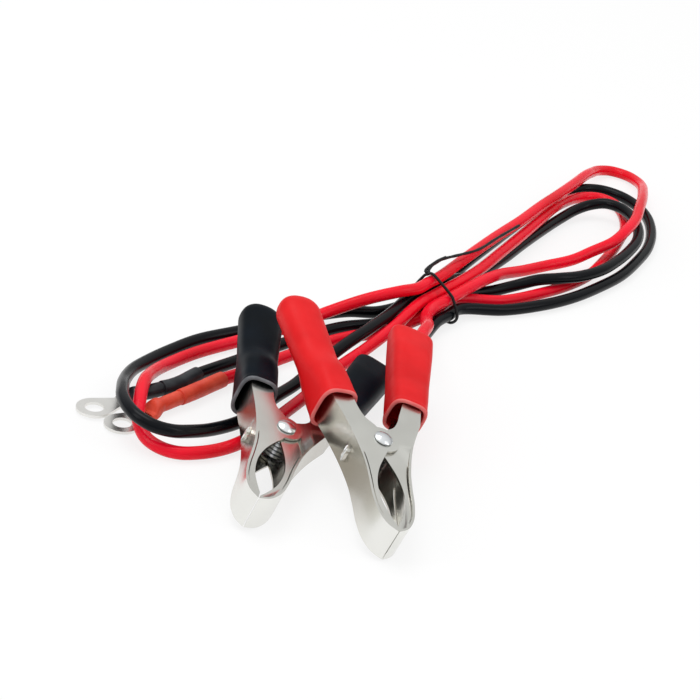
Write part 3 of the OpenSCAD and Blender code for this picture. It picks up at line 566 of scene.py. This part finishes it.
INSIDE_STOPS = (12, 6, 3, 1.2, RIM)
MOUTH_STOPS = (0.45, 0.8, 1.2, 1.7, 2.2, 2.8, 3.6, 4.6, 6)
WALL_STOPS = (1.5, 3, 4.5, 6, 7.5, 9, 10.5, 12, 13.5, 15, 16.5, 18.5, 21, 24, 27, 30, 33)
STOP_GAP = 0.7
LATE_STOPS = (35, 37.5)
DOME_TURNS = (8, 16, 24, 32, 40, 48, 56, 64, 71, 77, 82, 86, 88.5)
DOME_POWER = 0.75
SQUEEZE_STOPS = (
    (0.12, 1), (0.25, 1), (0.38, 1), (0.5, 1), (0.62, 1), (0.74, 1), (0.84, 0.995),
    (0.91, 0.985), (0.96, 0.965), (0.985, 0.945), (1, 0.905), (1, 0.5), (1, 0.1))


def mouth_half(top, reach):
    """Half the height of a mouth whose inside clears the corners of its handle."""
    x = (HANDLE_W / 2 + LEVER_SPREAD * reach) / (BOOT_MOUTH - BOOT_WALL)
    return (top + BOOT_FIT) / (1 - x ** BOOT_N) ** (1 / BOOT_N) + BOOT_WALL


def boot_half_w(y):
    return mix(BOOT_MOUTH, BOOT_END_W / 2, max(0, y) / BOOT_L)


def boot_half_h(y, mouth):
    return mix(mouth, BOOT_END_H / 2, ease(clamp((y - BOOT_FROM) / BOOT_EASE)))


def power(v, e):
    return math.copysign(abs(v) ** e, v)


def oval(y, a, b, n, seed=0.0, wave=0.0):
    """A boot's section, with the small unevenness of a dipped sleeve."""
    ring = []
    for t in around(BOOT_SIDES):
        x, z = a * power(math.cos(t), 2 / n), b * power(math.sin(t), 2 / n)
        spot = Vector((x * WAVE_SCALE, y * WAVE_SCALE + seed, z * WAVE_SCALE))
        grow = 1 - wave * (0.5 + 0.5 * noise.noise(spot))
        ring.append((x * grow, y, z * grow))
    return ring


def boot_rings(top, reach, end_n, seed):
    """Rings from inside the mouth, over its rounded rim, and along the outer wall."""
    def shape(y):
        return mix(BOOT_N, end_n, clamp(y / ROUND_BY))

    m = mouth_half(top, reach)
    lip = [(y - reach, -BOOT_WALL) for y in INSIDE_STOPS]
    lip += [(RIM - RIM * math.sin(a) - reach, -BOOT_WALL / 2 - BOOT_WALL / 2 * math.cos(a))
            for a in (math.radians(d) for d in RIM_TURNS)]
    rings = [oval(y, boot_half_w(y) + d, boot_half_h(y, m) + d, shape(y)) for y, d in lip]
    outs = [d - reach for d in MOUTH_STOPS]
    outs += [y for y in WALL_STOPS if y > outs[-1] + STOP_GAP]
    for y in outs:
        bead = BEAD_RISE * math.sqrt(max(0.0, 1 - ((y + reach - BEAD_AT) / BEAD_HALF) ** 2))
        wave = WAVE * min(1, (y + reach) / WAVE_FROM)
        rings.append(oval(y, boot_half_w(y) + bead, boot_half_h(y, m) + bead, shape(y), seed,
                          wave))
    return m, rings, len(lip)


def free_boot_rings(seed):
    """Closed by a rounded end."""
    m, rings, lip = boot_rings(OUTER_TOP, FREE_REACH, FREE_ROUND, seed)
    at = BOOT_L - DOME_L
    rings += [oval(y, boot_half_w(y), boot_half_h(y, m), FREE_ROUND, seed, WAVE)
              for y in (*LATE_STOPS, at)]
    for degrees in DOME_TURNS:
        a = math.radians(degrees)
        shrink = math.cos(a) ** DOME_POWER
        rings.append(oval(at + DOME_L * math.sin(a), boot_half_w(at) * shrink,
                          boot_half_h(at, m) * shrink, FREE_ROUND, seed, END_WAVE))
    return rings, lip


def cable_boot_rings(seed):
    """The far end is pressed flat, and stops in a square-cut end with a rounded edge."""
    m, rings, lip = boot_rings(INNER_TOP, 0, BOOT_N, seed)
    at = BOOT_L - SQUEEZE_L
    for t, shrink in SQUEEZE_STOPS:
        h = mix(BOOT_END_H / 2, CABLE_END_H / 2, t)
        y = at + SQUEEZE_L * t
        rings.append(oval(y, boot_half_w(y) * shrink, h * shrink, BOOT_N, seed, END_WAVE))
    return rings, lip


def placed(rings, matrix):
    """Rings moved by a matrix."""
    return [[matrix @ Vector(p) for p in ring] for ring in rings]


BODIES = {"red": "red_free_lever", "black": "black_free_lever"}
SEEDS = {"red": 3.0, "black": 11.0}
CABLE_SEED = 5
PAINTED_HIGHLIGHT_FROM = 4
for colour, seed in SEEDS.items():
    clip = clip_matrix(colour)
    for part, (rings, lip), matrix, body in (
            ("free_boot", free_boot_rings(seed), clip @ MIRROR @ HANDLE, BODIES[colour]),
            ("cable_boot", cable_boot_rings(seed + CABLE_SEED), clip @ HANDLE, "leads")):
        # The bands over the rounded rim take the rim look, a painted highlight.
        bands = [1 if PAINTED_HIGHLIGHT_FROM <= i <= lip else 0 for i in range(len(rings))]
        boot = skin(f"{colour}_{part}_skin", placed(rings, matrix), slots=bands, smooth_angle=50)
        finish_with(boot, f"{colour}_boot", f"{colour}_boot", f"{colour}_rim")
        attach(boot, body)
        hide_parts(f"{colour}_{part}")

# Collars where the leads leave the flat boot ends: (place from the end, width in leads).
COLLAR = ((-3, 1.16), (-1.5, 1.16), (0, 1.15), (0.8, 1.12), (1.4, 1.07), (1.7, 1.02))
COLLAR_SIDES = 32
for colour in CLIPS:
    clip = clip_matrix(colour)
    line = [clip @ handle_point(BOOT_L + stop[0], EXIT_SIDE) for stop in COLLAR]
    collar = tube(f"{colour}_lead_collar", line, LEAD_D / 2, COLLAR_SIDES,
                  lambda i: COLLAR[i][1])
    finish_with(collar, f"{colour}_boot", f"{colour}_boot")
    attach(collar, "leads")

# ---------------------------------------------------------------- metal pieces

# Angles are in degrees. CHEEK_TURN is the cosine to the rivet below which a face is bent.
WELD = 0.004
FLAT_ANGLE = 0.6
CREASE = 32
CHEEK_TURN = 0.6
RING_EDGE = 0.16


def detailed(node, name, body, look, slot_name, edge=0, clip=None):
    """A CAD node's own solid, its edges rounded by edge, in a piece that replaces it.

    With a clip's colour, all but the flat cheeks get the finish of that clip's spines: a painted
    reflection and painted shade on the same plating."""
    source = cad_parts[node]
    mesh = source.data.copy()
    bm = bmesh.new()
    bm.from_mesh(mesh)
    bmesh.ops.remove_doubles(bm, verts=bm.verts, dist=WELD * MM)
    bmesh.ops.dissolve_limit(bm, angle_limit=math.radians(FLAT_ANGLE), verts=bm.verts,
                             edges=bm.edges)
    bmesh.ops.recalc_face_normals(bm, faces=bm.faces)
    bm.to_mesh(mesh)
    bm.free()
    obj = link(name, mesh, CREASE)
    if edge:
        bevel = obj.modifiers.new("edges", "BEVEL")
        bevel.width = edge * MM
        bevel.segments = 2
        bevel.limit_method = "ANGLE"
        bevel.angle_limit = math.radians(CREASE)
        bevel.use_clamp_overlap = True
        bevel.harden_normals = True
    if clip:
        # Bent faces take the spine's painted reflection and painted shade, and flat cheeks keep
        # the plain plating.
        flat = clip_matrix(clip).to_3x3() @ Vector((0, 0, 1))
        finish_with(obj, look, slot_name, f"{clip}_spine")
        for face in mesh.polygons:
            face.material_index = 1 if abs(face.normal.dot(flat)) < CHEEK_TURN else 0
    else:
        finish_with(obj, look, slot_name)
    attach(obj, body)
    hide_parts(node)


for colour in CLIPS:
    detailed(f"{colour}_cable_jaw", f"{colour}_cable_jaw_sheet", "leads", "plate",
             "plated_steel", clip=colour)
    detailed(f"{colour}_free_jaw", f"{colour}_free_jaw_sheet", BODIES[colour], "bright_plate",
             "bright_steel", clip=colour)
    detailed(f"{colour}_ring_terminal", f"{colour}_ring_terminal_sheet", "leads", "tinned",
             "tinned_copper", edge=RING_EDGE)
    for part in ("clip_strand", "ring_strand"):
        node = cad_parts[f"{colour}_{part}"]
        node.data.materials.clear()
        node.data.materials.append(LOOKS["copper"])

# The cross staked in each free lever's spine: two rounded bars, sunk into the sheet.
STAKE_AT = Vector((10.1, -3, -1))
STAKE_LEAN, STAKE_TILT, STAKE_L = 12, 27, 5.4
RIDGE_OUT, RIDGE_DEEP, RIDGE_HALF_W = 0.45, 0.62, 0.52
RIDGE_TIP = 0.06
RIDGE_STOPS = (-1, -0.97, -0.9, -0.75, -0.45, 0, 0.45, 0.75, 0.9, 0.97, 1)
RIDGE_SIDES = 20


def ridge_rings():
    """An upright bar with rounded ends, its middle line set out by RIDGE_OUT."""
    rings = []
    for z in RIDGE_STOPS:
        full = max(RIDGE_TIP, (1 - abs(z) ** 4) ** 0.5)
        rings.append([(RIDGE_OUT + RIDGE_DEEP * full * math.cos(a),
                       RIDGE_HALF_W * full * math.sin(a), z * STAKE_L / 2)
                      for a in around(RIDGE_SIDES)])
    return rings


for colour in CLIPS:
    spot = (clip_matrix(colour) @ MIRROR @ Matrix.Translation(STAKE_AT)
            @ Matrix.Rotation(math.radians(STAKE_LEAN), 4, "Z"))
    for side, tilt in (("down", -STAKE_TILT), ("up", STAKE_TILT)):
        turn = Matrix.Rotation(math.radians(tilt), 4, "X")
        ridge = skin(f"{colour}_stake_{side}", placed(ridge_rings(), spot @ turn),
                     smooth_angle=60)
        # The near-white stake look is a painted highlight.
        finish_with(ridge, "stake", "bright_steel")
        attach(ridge, BODIES[colour])

# ---------------------------------------------------------------- rivets and springs

RIVET_D, HEAD_D, HEAD_H, HEAD_GAP, RIM_H = 4.0, 6.2, 1.4, 0.15, 0.4
RIM_FALL, RIM_BEND, RIM_FOOT = 0.1, 0.06, 0.08
POLE_R = 0.01
DOME_STEPS = 10
RIVET_SIDES = 48


def rivet_rings():
    """A turned profile from one domed head, down the shaft, to the other."""
    rise = HEAD_H - RIM_H
    dome = ((HEAD_D / 2) ** 2 + rise ** 2) / (2 * rise)
    face = OUTER_TOP + HEAD_GAP
    span = math.asin(HEAD_D / 2 / dome)
    cap = [(dome * math.sin(a), face + HEAD_H - dome + dome * math.cos(a))
           for a in (span * k / DOME_STEPS for k in range(DOME_STEPS))]
    cap[0] = (POLE_R, face + HEAD_H)
    rim = [(HEAD_D / 2 - RIM_FALL, face + RIM_H + RIM_BEND),
           (HEAD_D / 2, face + RIM_H - RIM_BEND), (HEAD_D / 2, face + RIM_FOOT),
           (HEAD_D / 2 - RIM_FOOT, face), (RIVET_D / 2, face)]
    upper = cap + rim
    profile = upper + [(r, -z) for r, z in reversed(upper)]
    return [[(r * math.cos(a), r * math.sin(a), z) for a in around(RIVET_SIDES)]
            for r, z in profile]


SPRING_GAP = 0.15
TURN_STEPS = 28
LEG_STEPS = 8
WIRE_SIDES = 14
WIRE_CUT = 0.25


def spring_lines():
    """The wire of the coil and its fixed leg, and the wire that turns with the free lever.

    The cut is a quarter turn before the coil's end, WIRE_CUT of a step after a point."""
    inner_free = INNER_TOP - SHEET_T
    pitch = (2 * (inner_free - SPRING_GAP) - SPRING_WIRE_D) / SPRING_TURNS
    rest = handle_point(1, 0)
    lean = math.atan2(rest.x - SPRING_R, rest.y)
    low = -pitch * SPRING_TURNS / 2
    total = round(SPRING_TURNS * TURN_STEPS)
    turns = []
    for i in range(total + 1):
        a = -lean + 2 * math.pi * SPRING_TURNS * i / total
        turns.append(Vector((SPRING_R * math.cos(a), -SPRING_R * math.sin(a),
                             low + pitch * SPRING_TURNS * i / total)))
    legs = [k / LEG_STEPS for k in range(LEG_STEPS, 0, -1)]
    first = [turns[0] + SPRING_LEG * k * Vector((math.sin(lean), math.cos(lean), 0))
             for k in legs]
    last = [turns[-1] + SPRING_LEG * k * Vector((-math.sin(lean), math.cos(lean), 0))
            for k in reversed(legs)]
    part = len(turns) - TURN_STEPS // 4
    cut = turns[part - 1].lerp(turns[part], WIRE_CUT)
    return first + turns[:part], [cut] + turns[part:] + last


for colour in CLIPS:
    clip = clip_matrix(colour)
    rivet = skin(f"{colour}_rivet_pin", placed(rivet_rings(), clip), smooth_angle=35)
    finish_with(rivet, "rivet", "rivet_steel")
    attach(rivet, "leads")
    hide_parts(f"{colour}_rivet")
    coil, leg = spring_lines()
    wire = tube(f"{colour}_spring_wire", [clip @ p for p in coil], SPRING_WIRE_D / 2, WIRE_SIDES)
    finish_with(wire, "spring", "spring_steel")
    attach(wire, "leads")
    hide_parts(f"{colour}_spring")
    swung = tube(f"{colour}_spring_leg", [clip @ p for p in leg], SPRING_WIRE_D / 2, WIRE_SIDES)
    finish_with(swung, "spring", "spring_steel")
    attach(swung, BODIES[colour])

# ---------------------------------------------------------------- heat-shrink sleeves

SLEEVE_SIDES = 36
SLEEVE_STEPS = 6
FLAT_ROOM, BULGE_ROOM, SLEEVE_GAP = 0.4, 0.45, 0.15
FLAT_N, BULGE_N = 6, 2.4
FLAT_FROM, FLAT_TO, BULGE_END, BARREL_OVER = 10.5, 12.5, 1.6, 0.1
SHRINK_REACH = 3
CRIMPS, CRIMP_DEPTH, CRIMP_HALF = (18.6, 22.4), 0.42, 1.5
CRIMP_TOP, CRIMP_SHOWS = 0.2, 0.3
RIPPLE, RIPPLE_SCALE = 0.05, 0.6


def sleeve_stations(colour):
    """(middle, half width, half height, roundness, place from the ring) along the sleeve."""
    matrix = terminal_matrix(colour)
    flat_w, flat_h = TONGUE_W / 2 + FLAT_ROOM, RING_T / 2 + FLAT_ROOM
    bulge, barrel, strand = (BARREL_D / 2 + BULGE_ROOM, BARREL_D / 2 + SLEEVE_GAP,
                             STRAND_D / 2 + FLAT_ROOM)
    over = LEAD_D / 2 + SLEEVE_GAP
    mid, low = BARREL_D / 2, RING_T / 2
    stops = [(FLAT_FROM, low, flat_w, flat_h, FLAT_N), (FLAT_TO, low, flat_w, flat_h, FLAT_N),
             (BARREL_START - FLAT_ROOM, mid, bulge, bulge, BULGE_N),
             (BARREL_START + BULGE_END, mid, barrel, barrel, 2),
             (BARREL_START + BARREL_L + BARREL_OVER, mid, barrel, barrel, 2),
             (LEAD_ENTRY - FLAT_ROOM, mid, strand, strand, 2)]
    found = [(matrix @ Vector((s, 0, z)), w, h, n, s) for s, z, w, h, n in stops]
    line = curve(ROUTES[colour], 2)
    for i in range(SHRINK_REACH * 2 + 1):
        found.append((line[-1 - i], over, over, 2, LEAD_ENTRY + i))
    return found


def sleeve_rings(colour, grow):
    """Rings along the sleeve's inside, or with grow its outside, dented and rippled."""
    stations = sleeve_stations(colour)
    points = curve([s[0] for s in stations], SLEEVE_STEPS)
    rings = []
    for i, (p, (way, side, up)) in enumerate(zip(points, frames_along(points))):
        k = min(i // SLEEVE_STEPS, len(stations) - 2)
        t = ease(i / SLEEVE_STEPS - k)
        w, h, n, s = (mix(a, b, t) for a, b in zip(stations[k][1:], stations[k + 1][1:]))
        dent = sum(CRIMP_DEPTH * max(0.0, 1 - abs(s - at) / CRIMP_HALF) ** 1.5 for at in CRIMPS)
        ring = []
        for a in around(SLEEVE_SIDES):
            x, z = power(math.cos(a), 2 / n), power(math.sin(a), 2 / n)
            q = p + (w + grow) * x * side + (h + grow) * z * up
            if grow and z * up.z > CRIMP_TOP:
                q = q - CRIMP_SHOWS * dent * z * up
            ripple = RIPPLE * noise.noise(q * RIPPLE_SCALE) if grow else 0
            ring.append(q + ripple * (q - p).normalized())
        rings.append(ring)
    return rings


for colour in CLIPS:
    outer, inner = sleeve_rings(colour, SHRINK_T), sleeve_rings(colour, 0)
    sleeve = skin(f"{colour}_sleeve", outer + inner[::-1], closed=True, smooth_angle=50)
    finish_with(sleeve, f"{colour}_sleeve", f"{colour}_sleeve")
    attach(sleeve, "leads")
    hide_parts(f"{colour}_heat_shrink")

# ---------------------------------------------------------------- twist tie

TIE_GAP = 0.35
TIE_FROM = 105
TIE_STEP = 15
TIE_RISE = 1.3
TIE_SIDES = 16
END_STEPS, ROUND_STEPS = 5, 3
TWIST, TWIST_TURN, TWIST_FREE = 0.12, 2.1, 3


def tie_support(degrees):
    """The tie's middle line where it lies over the outermost run in that direction."""
    way = Vector((math.cos(math.radians(degrees)), math.sin(math.radians(degrees))))
    best = max((Vector(s) for s in SLOTS.values()), key=lambda s: round(s.dot(way), 9))
    return best + (LEAD_D / 2 + TIE_GAP + TIE_D / 2) * way


loop = [held(tie_support(a), TIE_RISE * TIE_D * (a - TIE_FROM) / 360)
        for a in range(TIE_FROM, TIE_FROM + 360, TIE_STEP)]
tail = curve(shifted(TIE_TAIL) + [loop[0]], END_STEPS)
short_end = curve([loop[-1]] + shifted(TIE_SHORT_END), END_STEPS)
tie_line = tail[:-1] + curve(loop, ROUND_STEPS)[:-1] + short_end
tie = tube("twist_tie_wire", tie_line, TIE_D / 2, TIE_SIDES,
           lambda i: (1 + TWIST * math.sin(i * TWIST_TURN) if i < len(tail) - TWIST_FREE
                      else 1))
finish_with(tie, "tie", "tie_plastic")
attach(tie, "leads")
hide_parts("twist_tie")

# ---------------------------------------------------------------- floor and light

BACKDROP = (0.92, 0.92, 0.92)
WHITE = (1, 1, 1, 1)
GLOW_SHARE = 0.8
FLOOR_HALF = 6.0
FLOOR_DROP = 0.0003

# Each lamp's place, aim, size and watts. SKY holds greys by the height that a ray looks up.
LAMPS = {"top_softbox": ((-0.25, 0.25, 1.0), (0.02, 0.1, 0), (0.6, 0.6), 3.2),
         "left_softbox": ((-1.0, -0.35, 0.6), (0, 0.05, 0), (0.4, 0.8), 1.9),
         "right_softbox": ((0.95, -0.2, 0.7), (0, 0.05, 0), (0.3, 0.7), 1.2)}
SKY = ((0.0, 0.34), (0.10, 0.30), (0.34, 0.66), (1.0, 0.95))


def floor_material():
    """A pale, dull floor with a white glow that only camera and glossy rays see."""
    material = bpy.data.materials.new("studio_floor")
    material.use_nodes = True
    tree = material.node_tree
    shader = tree.nodes["Principled BSDF"]
    shader.inputs["Base Color"].default_value = (*BACKDROP, 1)
    shader.inputs["Roughness"].default_value = 0.8
    shader.inputs["Specular IOR Level"].default_value = 0.1
    glow = tree.nodes.new("ShaderNodeEmission")
    glow.inputs["Color"].default_value = WHITE
    glow.inputs["Strength"].default_value = 1.0
    rays = tree.nodes.new("ShaderNodeLightPath")
    either = tree.nodes.new("ShaderNodeMath")
    either.operation = "MAXIMUM"
    share = tree.nodes.new("ShaderNodeMath")
    share.operation = "MULTIPLY"
    share.inputs[1].default_value = GLOW_SHARE
    tree.links.new(rays.outputs["Is Camera Ray"], either.inputs[0])
    tree.links.new(rays.outputs["Is Glossy Ray"], either.inputs[1])
    both = tree.nodes.new("ShaderNodeMixShader")
    tree.links.new(either.outputs[0], share.inputs[0])
    tree.links.new(share.outputs[0], both.inputs[0])
    tree.links.new(shader.outputs[0], both.inputs[1])
    tree.links.new(glow.outputs[0], both.inputs[2])
    tree.links.new(both.outputs[0], tree.nodes["Material Output"].inputs["Surface"])
    return material


floor_mesh = bpy.data.meshes.new("floor")
floor_mesh.from_pydata([(x * FLOOR_HALF, y * FLOOR_HALF, 0)
                        for x, y in ((-1, -1), (1, -1), (1, 1), (-1, 1))], [], [(0, 1, 2, 3)])
floor = bpy.data.objects.new("floor", floor_mesh)
floor.location.z = -FLOOR_DROP
bpy.context.scene.collection.objects.link(floor)
floor_mesh.materials.append(floor_material())


def area_light(name, at, aim, size, watts):
    data = bpy.data.lights.new(name, "AREA")
    data.shape = "RECTANGLE"
    data.size, data.size_y = size
    data.energy = watts
    obj = bpy.data.objects.new(name, data)
    obj.location = at
    obj.rotation_euler = (Vector(aim) - Vector(at)).to_track_quat("-Z", "Y").to_euler()
    bpy.context.scene.collection.objects.link(obj)


def sky(world):
    """White to camera rays. Other rays see the greys of SKY."""
    world.use_nodes = True
    tree = world.node_tree
    ground = tree.nodes["Background"]
    ground.inputs["Strength"].default_value = 1.0
    way = tree.nodes.new("ShaderNodeTexCoord")
    parts = tree.nodes.new("ShaderNodeSeparateXYZ")
    shade = tree.nodes.new("ShaderNodeValToRGB")
    for at, _ in SKY[1:-1]:
        shade.color_ramp.elements.new(at)
    for stop, (at, grey) in zip(shade.color_ramp.elements, SKY):
        stop.position = at
        stop.color = (grey, grey, grey, 1)
    seen = tree.nodes.new("ShaderNodeLightPath")
    choose = tree.nodes.new("ShaderNodeMix")
    choose.data_type = "RGBA"
    tree.links.new(way.outputs["Generated"], parts.inputs[0])
    tree.links.new(parts.outputs["Z"], shade.inputs[0])
    tree.links.new(seen.outputs["Is Camera Ray"], choose.inputs[0])
    greys, white = [s for s in choose.inputs if s.type == "RGBA"]
    white.default_value = WHITE
    tree.links.new(shade.outputs["Color"], greys)
    chosen = [s for s in choose.outputs if s.type == "RGBA"][0]
    tree.links.new(chosen, ground.inputs["Color"])


for name, (at, aim, size, watts) in LAMPS.items():
    area_light(name, at, aim, size, watts)

studio = bpy.data.worlds.new("studio")
bpy.context.scene.world = studio
sky(studio)

bpy.context.scene.view_settings.view_transform = "Standard"
